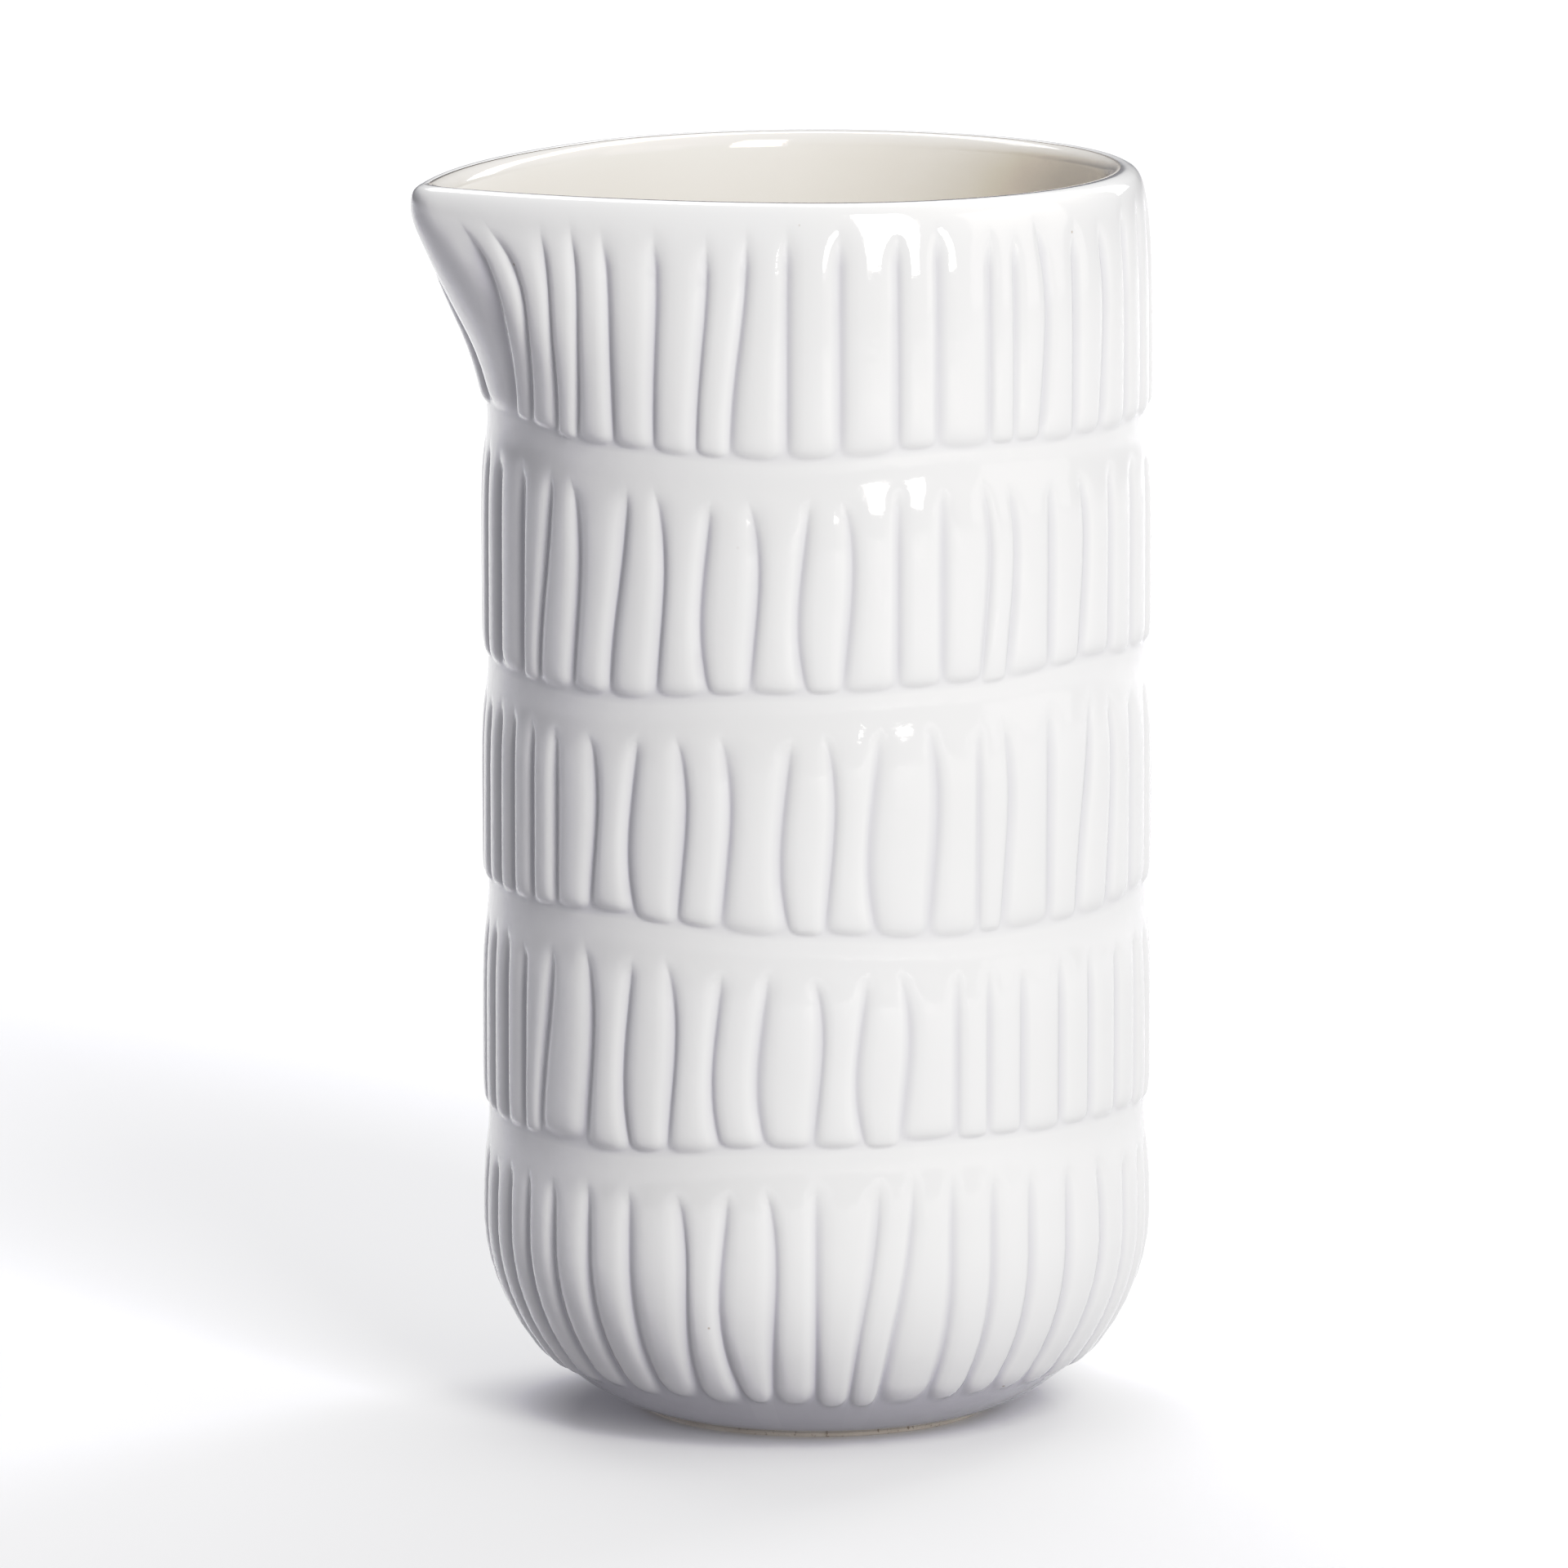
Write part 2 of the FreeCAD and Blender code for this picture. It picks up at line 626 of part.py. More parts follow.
def fused(doc, name, things):
    fusion = doc.addObject("Part::MultiFuse", name)
    fusion.Shapes = things
    fusion.Refine = True
    doc.recompute()
    return fusion


def whole_cavity(doc, name, size, grow, cell):
    """The inside, widened by grow."""
    lower = lower_cavity(doc, name + "Lower", size, grow, f" + {cell}" if cell else "")
    upper = code_shape(doc, name + "Upper", upper_cavity(size, grow))
    return fused(doc, name, [lower, upper])


def cut(doc, name, base, tool):
    thing = doc.addObject("Part::Cut", name)
    thing.Base = base
    thing.Tool = tool
    doc.recompute()
    return thing


def cylinder(doc, name, radius, height, base=None):
    """A Part::Cylinder on the axis whose sizes are sheet expressions."""
    thing = doc.addObject("Part::Cylinder", name)
    thing.setExpression("Radius", radius)
    thing.setExpression("Height", height)
    if base:
        thing.setExpression("Placement.Base.z", base)
    doc.recompute()
    return thing


def main():
    doc = FreeCAD.newDocument("Pitcher")
    size = make_sheet(doc)
    glaze, cell = size["glaze"], "Dimensions.glaze"

    outside = code_shape(doc, "GlazedWall", carved_wall(size, 0.0))
    clay_wall = code_shape(doc, "ClayWall", carved_wall(size, glaze))
    inside = whole_cavity(doc, "Inside", size, 0.0, "")
    lined = whole_cavity(doc, "Lined", size, glaze, cell)

    base_height = end_wires(clay_wall.Shape)[0].BoundBox.ZMin
    recess_radius = "Dimensions.foot_radius - Dimensions.foot_width"
    block = cylinder(doc, "FootBlock", "Dimensions.foot_radius", str(base_height))
    recess = cylinder(doc, "Recess", recess_radius, "Dimensions.recess_depth")

    clay = clay_solid(size, clay_wall.Shape, lined.Shape, block.Shape, recess.Shape)
    body = code_shape(doc, "ClayBody", clay)
    mouth = mouth_line(size)
    coat = code_shape(doc, "OuterGlaze", coat_solid(size, outside.Shape, clay_wall.Shape, mouth))
    air = code_shape(doc, "MouthAir", Part.Face(mouth).extrude(Vector(0, 0, size["mouth_air"])))
    hollow = fused(doc, "LinerSpace", [inside, air])
    liner = cut(doc, "InnerGlaze", lined, hollow)
    base = cylinder(doc, "BaseGlaze", recess_radius, cell, "Dimensions.recess_depth - Dimensions.glaze")

    nodes = {"clay_body": body, "outer_glaze": coat, "inner_glaze": liner, "base_glaze": base}
    for node, thing in nodes.items():
        thing.Label = node
    doc.recompute()

    for thing in doc.Objects:
        if "Invalid" in thing.State or "Error" in thing.State:
            raise RuntimeError(f"{thing.Label} is in state {thing.State}")
    os.makedirs("parts", exist_ok=True)
    for node, thing in nodes.items():
        shape = thing.Shape
        if shape.isNull() or not shape.isValid() or len(shape.Solids) != 1:
            raise RuntimeError(f"{node} is not one valid solid")
        shape.Solids[0].exportStep(f"parts/{node}.step")
        print(node, len(shape.Faces), "faces", round(shape.Volume), "mm3", shape.BoundBox)


main()
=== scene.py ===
import math
import random

import bpy
import numpy as np
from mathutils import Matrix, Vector


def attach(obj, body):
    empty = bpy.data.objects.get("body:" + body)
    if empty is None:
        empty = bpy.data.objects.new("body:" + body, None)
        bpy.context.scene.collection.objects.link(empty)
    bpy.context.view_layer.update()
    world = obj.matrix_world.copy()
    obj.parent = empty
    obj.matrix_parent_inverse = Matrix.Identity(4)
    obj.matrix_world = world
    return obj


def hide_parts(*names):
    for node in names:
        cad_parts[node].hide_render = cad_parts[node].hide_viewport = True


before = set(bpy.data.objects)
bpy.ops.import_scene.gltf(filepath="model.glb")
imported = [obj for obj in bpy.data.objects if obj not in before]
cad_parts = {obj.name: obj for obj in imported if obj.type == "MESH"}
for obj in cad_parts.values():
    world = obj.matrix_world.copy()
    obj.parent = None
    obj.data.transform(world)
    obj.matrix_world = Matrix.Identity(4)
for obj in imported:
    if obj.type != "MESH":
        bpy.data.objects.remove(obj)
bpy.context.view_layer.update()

MM = 0.001

# ---------------------------------------------------------------- sizes, in millimetres, as in the CAD source

BODY_RADIUS = 50.0
HEIGHT = 187.0
CORNER_RADIUS = 32.0
CORNER_HEIGHT = 30.7
BASE_RADIUS = 26.5
JOINT_HEIGHT = 148.5
INNER_RADIUS = 42.8
INNER_CORNER = 22.0
FLOOR_HEIGHT = 8.0
FOOT_RADIUS = 26.0
FOOT_WIDTH = 4.0
FOOT_ROUND = 0.45  # the rounding of the foot ring's edges
FOOT_OVERLAP = 0.9  # how far the ring's side runs up past the base's edge
RECESS_RADIUS = FOOT_RADIUS - FOOT_WIDTH
RECESS_DEPTH = 1.5
GLAZE = 0.35
CLEARANCE = 0.02  # keeps the clay just behind the glaze's own back
HOLLOWS = (44.4, 78.0, 112.7, 148.5)
HOLLOW_DEPTH = 0.9
RIM_INSET = 5.4
RIM_TAPER_HEIGHT = 39.0
RIM_POWER = 4.16
RIM_CREST_INSET = 3.8
RIM_INNER_ROUND = 2.2
SPOUT_BEND = 165.0
SPOUT_SLOPE = 0.585
SPOUT_WALL = 6.6
NOSE_HEIGHT = 7.0
NOSE_ROUND = 1.6
FLANK = math.radians(62.0)
OUTER_TIP_RATIO = 0.767
INNER_TIP_RATIO = 0.7

# the ribs: where they start and end, and how deep the grooves between them go
LOWEST_RIB = 6.7
HIGHEST_RIB = 184.0
GROOVE_DEPTH = 0.94
CROSSING_REACH = 2.5
# a hollow's reach above and below its middle, and how squarely it ends there
HOLLOW_REACH_UP = 3.3
HOLLOW_REACH_DOWN = 5.4
HOLLOW_POWER_UP = 2.0
HOLLOW_POWER_DOWN = 1.7
# a rib's lower end is a rounded toe, as long as this share of the rib's half width, longer by the foot ring
TOE_RISE = 2.7
TOE_SPREAD = 0.35
TOE_SHARE = 0.55
FOOT_TOE_SHARE = 1.1
TOE_POWER = 2.6
# a rib's upper end rolls into the hollow, or fades out under the rim
HEAD_GAP = 2.3
HEAD_SPREAD = 0.8
HEAD_FADE = 3.2
RIM_FADE = 7.0
RIM_SPREAD = 1.2
# the pillow shape across a rib
PILLOW_POWER = 3.5
PILLOW_EDGE = 1.5
# a slim rib lies a little lower, except close to a hollow
SLIM_HALF_WIDTH = 3.3
SLIM_DROP = 0.3
SLIM_CLEAR = 2.0
SLIM_FADE = 4.0

RIBS = 47
SEEN_RIBS = 20
SEEN_RIBS_BEHIND = 4
# how much the grooves behind bow, in degrees, and the seeds of their bends and of every groove's ends
USUAL_BOW = 1.3
BEHIND_SEED = 3
ENDS_SEED = 11
# the stations round the pitcher where a hollow's level is given
LIFT_STATIONS = 12
LIFT_STEP = 360 // LIFT_STATIONS

# How a groove bends: how far its bottom and top stand off its middle, and the swing of an S-bend, in degrees.
STRAIGHT = (0, 0, 0)
INWARD = (2.5, 2.5, -0.5)
OUTWARD = (-2, -2.5, -0.5)
LEANING = (-2, 2, -0.5)
FANNED = (-5, 3, -0.5)
SWEPT = (-8, -2, -1.5)

# The carved grooves on the pouring side, band by band from the foot up: each one's middle, in whole degrees
# anticlockwise from the spout, and its bend, one of the six kinds above.
CARVED_PLACES = (
    (
        (-15, STRAIGHT), (-7, STRAIGHT), (0, STRAIGHT), (7, STRAIGHT), (15, STRAIGHT), (24, STRAIGHT),
        (33, STRAIGHT), (44, OUTWARD), (50, INWARD), (60, OUTWARD), (67, STRAIGHT), (76, LEANING),
        (82, LEANING), (91, STRAIGHT), (99, STRAIGHT), (107, STRAIGHT), (116, STRAIGHT), (126, OUTWARD),
        (135, STRAIGHT), (143, STRAIGHT),
    ),
    (
        (-15, STRAIGHT), (-8, STRAIGHT), (-1, STRAIGHT), (6, STRAIGHT), (13, LEANING), (25, OUTWARD),
        (32, INWARD), (42, OUTWARD), (49, INWARD), (57, INWARD), (68, OUTWARD), (74, INWARD),
        (83, OUTWARD), (92, STRAIGHT), (98, STRAIGHT), (105, STRAIGHT), (114, STRAIGHT),
        (122, STRAIGHT), (131, STRAIGHT), (140, STRAIGHT),
    ),
    (
        (-11, STRAIGHT), (-4, STRAIGHT), (2, STRAIGHT), (9, STRAIGHT), (16, STRAIGHT), (26, OUTWARD),
        (33, INWARD), (44, OUTWARD), (52, OUTWARD), (61, INWARD), (70, OUTWARD), (76, INWARD),
        (88, OUTWARD), (96, STRAIGHT), (102, OUTWARD), (111, STRAIGHT), (120, LEANING), (129, OUTWARD),
        (137, STRAIGHT), (147, STRAIGHT),
    ),
    (
        (-12, STRAIGHT), (-4, STRAIGHT), (6, STRAIGHT), (13, LEANING), (22, OUTWARD), (31, LEANING),
        (40, OUTWARD), (47, INWARD), (57, OUTWARD), (64, INWARD), (73, OUTWARD), (81, STRAIGHT),
        (89, STRAIGHT), (98, OUTWARD), (103, OUTWARD), (111, STRAIGHT), (120, OUTWARD), (128, STRAIGHT),
        (137, STRAIGHT), (147, STRAIGHT),
    ),
    (
        (-10, STRAIGHT), (11, SWEPT), (16, SWEPT), (21, FANNED), (26, FANNED), (32, LEANING),
        (40, LEANING), (48, LEANING), (54, LEANING), (62, STRAIGHT), (71, STRAIGHT), (81, STRAIGHT),
        (88, STRAIGHT), (98, STRAIGHT), (103, STRAIGHT), (110, OUTWARD), (117, STRAIGHT),
        (126, OUTWARD), (134, STRAIGHT), (142, STRAIGHT),
    ),
)
CARVED_GROOVES = [
    [(middle + bottom, middle, middle + top, swing) for middle, (bottom, top, swing) in band]
    for band in CARVED_PLACES
]

# How far each hollow, from the lowest up, wanders off its level at each station, every LIFT_STEP degrees.
HOLLOW_LIFTS = (
    (-1.0, -1.4, 0.8, 1.8, 1.5, 0.6, -0.4, -0.9, -0.3, 0.6, 0.4, -0.5),
    (0.3, 0.7, -1.1, -2.1, -1.5, -0.4, 0.5, 0.9, 0.4, -0.4, -0.8, -0.3),
    (-1.5, -2.2, -0.3, 0.8, 2.4, 1.2, 0.2, -0.6, -0.9, -0.2, 0.5, -0.4),
    (1.5, -0.8, -1.8, -0.2, -0.4, 0.3, 0.8, 0.2, -0.6, -0.9, 0.2, 1.2),
)


# ---------------------------------------------------------------- the wall's shape

def smooth(x):
    x = np.clip(x, 0.0, 1.0)
    return x * x * (3 - 2 * x)


def ring(turn, reach, z):
    """A level row of points at the given turns about the axis, all at one reach."""
    return np.stack([reach * np.cos(turn), reach * np.sin(turn), 0 * turn + z], axis=-1)


def rim_inset(z):
    """How far the outer wall has drawn in from the body radius at height z, near the rim."""
    share = np.clip((z - HEIGHT + RIM_TAPER_HEIGHT) / RIM_TAPER_HEIGHT, 0.0, 1.0)
    return RIM_INSET * (1 - (1 - share ** RIM_POWER) ** (1 / RIM_POWER))


def spout_flare(z):
    """How far the spout's keel stands out from the body at height z."""
    rise = np.clip(z - JOINT_HEIGHT, 0.0, SPOUT_BEND - JOINT_HEIGHT)
    bend = SPOUT_SLOPE * rise ** 2 / (2 * (SPOUT_BEND - JOINT_HEIGHT))
    nose = np.clip(z - HEIGHT + NOSE_HEIGHT, 0.0, None) / NOSE_HEIGHT
    return bend + SPOUT_SLOPE * np.clip(z - SPOUT_BEND, 0.0, None) - NOSE_ROUND * nose ** 2


def channel_flare(z):
    """The same inside the spout, which ends at the spout's own wall thickness."""
    thinning = BODY_RADIUS - INNER_RADIUS - SPOUT_WALL
    return spout_flare(z) * (1 + thinning / spout_flare(np.array(HEIGHT)))


def outline(angle, flare, radius, tip_ratio, inset):
    """x and y of a plan outline at angles in degrees from the spout.

    Beside the spout an angle marks a share of the stretched wall, so what is spaced evenly round the body
    fans out over the spout.
    """
    angle = (angle + 180) % 360 - 180
    side = np.where(angle < 0, -1.0, 1.0)
    turn = np.radians(np.abs(angle))
    second = math.asin(math.sin(FLANK) / (1 + tip_ratio))
    spread = flare / ((1 + tip_ratio) * math.cos(second) - tip_ratio - math.cos(FLANK))
    tip_radius = radius - tip_ratio * spread
    flank_radius = radius + spread
    tip_length = tip_radius * second
    along = (tip_length + flank_radius * (FLANK - second)) * turn / FLANK
    on_tip = along <= tip_length
    normal = np.where(on_tip, along / tip_radius, second + (along - tip_length) / flank_radius)
    normal = np.where(turn > FLANK, turn, normal)
    arc = np.where(turn > FLANK, radius, np.where(on_tip, tip_radius, flank_radius)) - inset
    spout_x = np.where(on_tip, tip_radius - radius - flare, spread * math.cos(FLANK))
    centre_x = np.where(turn > FLANK, 0.0, spout_x)
    centre_y = np.where((turn > FLANK) | on_tip, 0.0, spread * math.sin(FLANK))
    x = centre_x - arc * np.cos(normal)
    y = side * (centre_y - arc * np.sin(normal))
    return x, y


def outer_wall(angle, z, inset):
    """Points of the outer wall, drawn in by inset square to its slope. z is a height on the undrawn wall."""
    small = 0.001
    slope = np.where(z > CORNER_HEIGHT, (rim_inset(z) - rim_inset(z - small)) / small, 0.0)
    length = np.hypot(1.0, slope)
    x, y = outline(angle, spout_flare(z), BODY_RADIUS, OUTER_TIP_RATIO, rim_inset(z) + inset / length)
    height = z - inset * slope / length
    tilt = np.arcsin(np.clip((CORNER_HEIGHT - z) / CORNER_RADIUS, 0.0, 1.0))
    reach = BODY_RADIUS - CORNER_RADIUS + (CORNER_RADIUS - inset) * np.cos(tilt)
    turn = math.pi + np.radians(angle)
    low = z < CORNER_HEIGHT
    x = np.where(low, reach * np.cos(turn), x)
    y = np.where(low, reach * np.sin(turn), y)
    height = np.where(low, CORNER_HEIGHT - (CORNER_RADIUS - inset) * np.sin(tilt), height)
    return np.stack([x, y, height * np.ones_like(x)], axis=-1)


# ---------------------------------------------------------------- ribs

def groove_table():
    """Each band's grooves as (bottom, middle, top, swing) angles: the carved list, then even ones behind."""
    chance = random.Random(BEHIND_SEED)
    bands = []
    for carved in CARVED_GROOVES:
        rows = [list(angles) for angles in carved]
        start, end = carved[-1][1], carved[0][1] + 360
        count = RIBS - len(carved) + 1
        for i in range(1, count):
            centre = start + (end - start) * i / count
            bow = USUAL_BOW * chance.choice((-1, 1)) * chance.uniform(0.3, 1.0)
            lean = USUAL_BOW * chance.uniform(-0.6, 0.6)
            swing = USUAL_BOW * chance.uniform(-0.7, 0.7)
            rows.append([centre - lean - bow / 2, centre + bow / 2, centre + lean - bow / 2, swing])
        bands.append(np.array(rows))
    return bands


GROOVES = groove_table()
BAND_EDGES = (LOWEST_RIB,) + HOLLOWS + (HIGHEST_RIB,)


def groove_angles(z):
    """The angle of each groove at height z; across a hollow the lines of one band run over into the next."""
    def in_band(band):
        low, high = BAND_EDGES[band], BAND_EDGES[band + 1]
        share = min(max((z - low) / (high - low), 0.0), 1.0)
        bottom, middle, top, swing = GROOVES[band].T
        return (bottom * (1 - share) * (1 - 2 * share) + 4 * middle * share * (1 - share)
                + top * share * (2 * share - 1) + swing * math.sin(2 * math.pi * share))

    for number, hollow in enumerate(HOLLOWS):
        if abs(z - hollow) < CROSSING_REACH:
            over = smooth((z - hollow + CROSSING_REACH) / (2 * CROSSING_REACH))
            return in_band(number) * (1 - over) + in_band(number + 1) * over
    band = sum(z > hollow for hollow in HOLLOWS)
    return in_band(band)


# Where the mesh columns lie across a rib, as shares of its width, on the pouring side and behind.
FINE_STEPS = np.array([0, 0.03, 0.075, 0.14, 0.23, 0.35, 0.5, 0.65, 0.77, 0.86, 0.925, 0.97])
PLAIN_STEPS = np.array([0, 0.06, 0.17, 0.36, 0.64, 0.83, 0.94])


def column_layout():
    """(rib number, place across the rib) of each mesh column, finer on the pouring side."""
    ribs, places = [], []
    for rib in range(RIBS):
        seen = rib < SEEN_RIBS or rib >= RIBS - SEEN_RIBS_BEHIND
        steps = FINE_STEPS if seen else PLAIN_STEPS
        ribs += [rib] * len(steps)
        places += list(steps)
    return np.array(ribs), np.array(places)


COLUMN_RIB, COLUMN_PLACE = column_layout()


def columns(z):
    """Each column's angle at height z, its place across its rib, from -1 to 1, and the rib's half width."""
    grooves = groove_angles(z)
    following = np.append(grooves[1:], grooves[0] + 360)
    width = following - grooves
    angle = grooves[COLUMN_RIB] + COLUMN_PLACE * width[COLUMN_RIB]
    half = np.radians(width[COLUMN_RIB]) * BODY_RADIUS / 2
    return angle, COLUMN_PLACE * 2 - 1, half


def crest_inset(z):
    """How far a rib's crest lies under the plain wall at height z, from the pull of the hollows near it."""
    inset = 0.0
    for hollow in HOLLOWS:
        away = z - hollow
        reach = HOLLOW_REACH_UP if away > 0 else HOLLOW_REACH_DOWN
        power = HOLLOW_POWER_UP if away > 0 else HOLLOW_POWER_DOWN
        inset += HOLLOW_DEPTH * math.exp(-abs(away / reach) ** power)
    return min(inset, HOLLOW_DEPTH)


def end_table():
    """How much earlier or later, from -1 to 1, each groove starts at its head and ends at its foot."""
    chance = random.Random(ENDS_SEED)
    bands = []
    for _ in CARVED_GROOVES:
        ends = [[chance.uniform(-1, 1), chance.uniform(-1, 1)] for _ in range(RIBS + 1)]
        bands.append(np.array(ends))
    return bands


ENDS = end_table()
NEAREST_GROOVE = (COLUMN_RIB + (COLUMN_PLACE > 0.5)) % RIBS


def relief(z, place, half):
    """Depth under the plain wall and under the rib's crest, in millimetres, for columns at one height."""
    band = sum(z > hollow for hollow in HOLLOWS)
    head, foot = ENDS[band][NEAREST_GROOVE, 0], ENDS[band][COLUMN_RIB, 1]
    low = BAND_EDGES[band] + (TOE_RISE if band else 0.0) + TOE_SPREAD * foot
    slim = SLIM_DROP * np.clip(1 - half / SLIM_HALF_WIDTH, 0, 1)
    for hollow in HOLLOWS:
        slim = slim * smooth((abs(z - hollow) - SLIM_CLEAR) / SLIM_FADE)
    if band == len(HOLLOWS):
        fade = smooth((HIGHEST_RIB + RIM_SPREAD * head - z) / RIM_FADE)
        slim = slim * smooth((HIGHEST_RIB - z) / RIM_FADE)
    else:
        fade = smooth((HOLLOWS[band] - z - HEAD_GAP - HEAD_SPREAD * head) / HEAD_FADE)
    crest = crest_inset(z) + slim
    toe_length = (TOE_SHARE if band else FOOT_TOE_SHARE) * half
    toe = np.clip(1 - (z - low) / toe_length, 0, 1)
    reach = (np.abs(place) ** TOE_POWER + toe ** TOE_POWER) ** (1 / TOE_POWER)
    pillow = (1 - np.clip(reach, 0, 1) ** PILLOW_POWER) ** PILLOW_EDGE
    drop = (GROOVE_DEPTH - crest) * (1 - pillow) * fade
    return crest + drop, drop


def level_lift(angle, z):
    """How far points at height z move up with the hollows next to them, which are never quite level."""
    turn = angle % 360 / LIFT_STEP
    station = np.floor(turn).astype(int)
    over = smooth(turn - station)
    band = min(sum(z > hollow for hollow in HOLLOWS), len(HOLLOWS))
    share = np.clip((z - BAND_EDGES[band]) / (BAND_EDGES[band + 1] - BAND_EDGES[band]), 0, 1)
    still = (0.0,) * LIFT_STATIONS
    below, above = [np.array(row) for row in (still, *HOLLOW_LIFTS, still)[band:band + 2]]
    row = below * (1 - share) + above * share
    return row[station] * (1 - over) + row[(station + 1) % LIFT_STATIONS] * over


def wall_rows(heights, inset):
    """Rows of points up the carved wall, drawn in by inset, and how deep each lies under its rib's crest."""
    rows, depths = [], []
    for z in heights:
        angle, place, half = columns(z)
        depth, drop = relief(z, place, half)
        height = z + level_lift(angle, z)
        rows.append(outer_wall(angle, height, depth + inset))
        depths.append(drop)
    return rows, depths


def corner_heights(first, last, count):
    """Heights on the plain wall from the base's edge, by even steps round the corner arc."""
    lowest = -math.asin((CORNER_HEIGHT - first) / CORNER_RADIUS)
    highest = -math.asin((CORNER_HEIGHT - last) / CORNER_RADIUS)
    return [CORNER_HEIGHT + CORNER_RADIUS * math.sin(a) for a in np.linspace(lowest, highest, count)]


BASE_HEIGHT = CORNER_HEIGHT - CORNER_RADIUS * math.sin(
    math.acos((BASE_RADIUS - BODY_RADIUS + CORNER_RADIUS) / (CORNER_RADIUS - HOLLOW_DEPTH))
)


# Mesh rows about a hollow, as heights off its middle: close together where the ribs' heads and toes are.
FINE_AROUND = (
    -9.0, -7.4, -6.0, -5.2, -4.4, -3.6, -2.8, -1.8, -0.6, 0.5,
    1.5, 2.2, 2.5, 2.8, 3.1, 3.45, 3.9, 4.5, 5.4, 6.6,
)
PLAIN_AROUND = (-7.2, -5.0, -2.8, -0.6, 1.6, 2.8, 4.0, 6.0)
FOOT_START = LOWEST_RIB - 0.6
FOOT_END = LOWEST_RIB + 4.2
RIM_START = HIGHEST_RIB - 8


def row_heights(fine):
    """Heights of the mesh rows: close together at rib ends and round the rim, open along the ribs."""
    around = FINE_AROUND if fine else PLAIN_AROUND
    between = 8 if fine else 3
    heights = corner_heights(BASE_HEIGHT, FOOT_START, 6 if fine else 3)[:-1]
    heights += list(np.linspace(FOOT_START, FOOT_END, 12 if fine else 5))
    for hollow in HOLLOWS:
        heights += list(np.linspace(heights[-1], hollow + around[0], between + 1)[1:-1])
        heights += [hollow + step for step in around]
    heights += list(np.linspace(heights[-1], RIM_START, between + 1)[1:])
    heights += list(np.linspace(RIM_START, HIGHEST_RIB, 10 if fine else 4)[1:])
    return heights


# How far under the rim's crest its rows lie.
RIM_STEPS = (2.35, 1.8, 1.3, 0.9, 0.55, 0.3, 0.12)


def rim_rows(inset):
    """Rows from the last rib over the rounded rim to the crest's outer edge."""
    angle, _, _ = columns(HIGHEST_RIB)
    rows = [outer_wall(angle, HEIGHT - step + 0 * angle, inset) for step in RIM_STEPS]
    x, y = outline(angle, spout_flare(HEIGHT + 0 * angle), BODY_RADIUS, OUTER_TIP_RATIO, RIM_CREST_INSET)
    rows.append(np.stack([x, y, 0 * x + HEIGHT - inset], axis=-1))
    return rows


def lip_row(angle, grow, z, opening):
    """One row round the inside at height z, opened out by opening and grown into the clay by grow."""
    x, y = outline(angle, channel_flare(z + 0 * angle), INNER_RADIUS, INNER_TIP_RATIO, -grow - opening)
    return np.stack([x, y, 0 * x + z], axis=-1)


def inside_heights(fine):
    """Heights of the rows down the inside wall, close together over the spout's channel on every surface."""
    channel_foot = JOINT_HEIGHT - 3
    channel = np.linspace(HEIGHT - RIM_INNER_ROUND, channel_foot, 20)
    below = np.linspace(channel_foot, FLOOR_HEIGHT + INNER_CORNER, 14 if fine else 5)
    return list(channel) + list(below[1:])


def inside_rows(angle, grow, fine):
    """Rows from the rim's crest line down the inside to the middle of the floor."""
    bend = RIM_INNER_ROUND
    rows = []
    for turn in np.radians((90, 75, 60, 45, 30, 15) if fine else (90, 60, 30)):
        opening = bend - (bend - grow) * math.cos(turn) - grow
        rows.append(lip_row(angle, grow, HEIGHT - bend + (bend - grow) * math.sin(turn), opening))
    for z in inside_heights(fine):
        rows.append(lip_row(angle, grow, z, 0.0))
    turn = math.pi + np.radians(angle)
    centre = INNER_RADIUS - INNER_CORNER
    for tilt in np.radians(np.linspace(0, 90, 12 if fine else 5))[1:]:
        reach = centre + (INNER_CORNER + grow) * math.cos(tilt)
        z = FLOOR_HEIGHT + INNER_CORNER - (INNER_CORNER + grow) * math.sin(tilt)
        rows.append(ring(turn, reach, z))
    return rows + [ring(turn, centre * share, z) for share in (0.75, 0.5, 0.25, 0.08)]


# ---------------------------------------------------------------- meshes

def skin(name, rows, closed, node, material, depths=None):
    """A piece from rows of points. closed joins the last row to the first, or else each end gets a middle."""
    width = len(rows[0])
    points = np.concatenate(rows)
    faces = []
    count = len(rows)
    column = np.arange(width)
    following = (column + 1) % width
    for i in range(count if closed else count - 1):
        j = (i + 1) % count
        faces += np.stack(
            [i * width + column, i * width + following, j * width + following, j * width + column], axis=1
        ).tolist()
    if not closed:
        ends = [rows[0].mean(axis=0), rows[-1].mean(axis=0)]
        first, last = len(points), len(points) + 1
        points = np.concatenate([points, ends])
        top = (count - 1) * width
        faces += [[first, int(b), int(a)] for a, b in zip(column, following)]
        faces += [[last, int(top + a), int(top + b)] for a, b in zip(column, following)]
    mesh = bpy.data.meshes.new(name)
    mesh.from_pydata((points * MM).tolist(), [], faces)
    if depths is not None:
        layer = mesh.attributes.new("groove_pool_and_shade_depth", "FLOAT", "POINT")
        values = np.zeros(len(points), dtype=np.float32)
        flat = np.concatenate(depths)
        values[:len(flat)] = flat
        layer.data.foreach_set("value", values)
    mesh.polygons.foreach_set("use_smooth", [True] * len(mesh.polygons))
    mesh.validate()
    mesh.update()
    piece = bpy.data.objects.new(name, mesh)
    bpy.context.scene.collection.objects.link(piece)
    piece.data.materials.append(material)
    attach(piece, "root")
    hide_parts(node)
    return piece


# ---------------------------------------------------------------- materials

